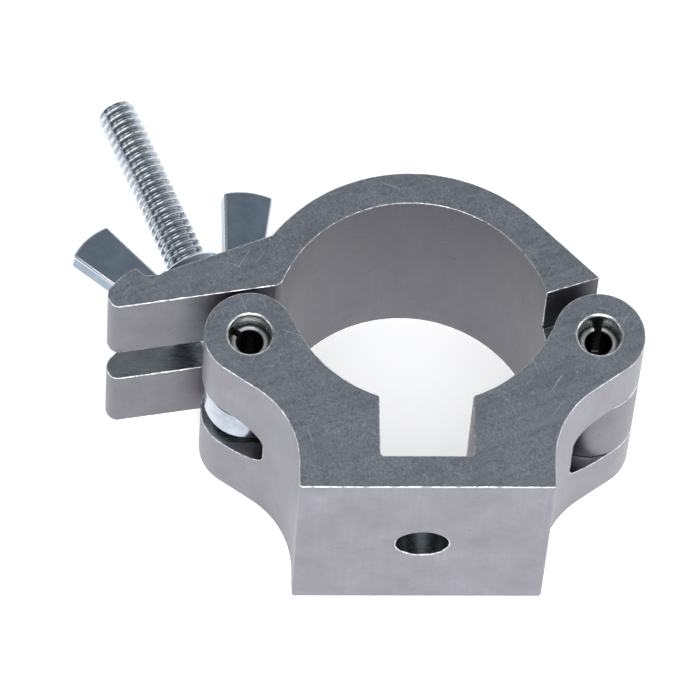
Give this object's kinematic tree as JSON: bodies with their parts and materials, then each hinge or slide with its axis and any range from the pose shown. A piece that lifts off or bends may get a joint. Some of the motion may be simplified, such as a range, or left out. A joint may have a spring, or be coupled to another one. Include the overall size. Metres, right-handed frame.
{
  "type": "pipe clamp",
  "caption": "Hinged aluminium half-coupler for stage tube: saddle with flat bolt-on base, hinged cap, swing bolt and wing nut.",
  "frame": {"origin": "on the axis of the pipe seat, at mid-width", "axes": "+Z along the pipe, -Y out of the base face, +X towards the hinge pin"},
  "size_m": [0.1092, 0.094, 0.05],
  "materials": {
    "saddle_aluminium": "mill-finish extrusion, satin with tumbled saw-cut faces",
    "cap_aluminium": "mill-finish extrusion, satin with tumbled saw-cut faces",
    "pin_steel": "bright spring steel",
    "bolt_zinc": "bright zinc plate",
    "washer_zinc": "bright zinc plate",
    "nut_zinc": "bright zinc plate"
  },
  "bodies": {
    "saddle": {"saddle": "saddle_aluminium", "hinge_pin": "pin_steel", "bolt_pin": "pin_steel"},
    "cap": {"cap": "cap_aluminium"},
    "swing_bolt": {"swing_bolt": "bolt_zinc"},
    "washer": {"washer": "washer_zinc"},
    "wing_nut": {"wing_nut": "nut_zinc"}
  },
  "joints": [
    {"name": "cap_hinge", "type": "hinge", "parent": "saddle", "child": "cap", "pos_m": [0.0332, -0.0122, 0], "axis": [0, 0, -1], "range_deg": [0, 10]},
    {"name": "bolt_swing", "type": "hinge", "parent": "saddle", "child": "swing_bolt", "pos_m": [-0.0332, -0.0122, 0], "axis": [0, 0, 1], "range_deg": [0, 60.01]},
    {"name": "nut_travel", "type": "slide", "parent": "swing_bolt", "child": "washer", "axis": [-0.3827, 0.9239, 0], "range_m": [0, 0.037]},
    {"name": "nut_spin", "type": "hinge", "parent": "washer", "child": "wing_nut", "pos_m": [-0.04093, 0.00646, 0.0002], "axis": [-0.3827, 0.9239, 0], "continuous": true}
  ],
  "couplings": [
    {"joint": "bolt_swing", "follows": "cap_hinge", "ratio": 6},
    {"joint": "nut_travel", "follows": "cap_hinge", "m_per_rad": 0.21199}
  ]
}
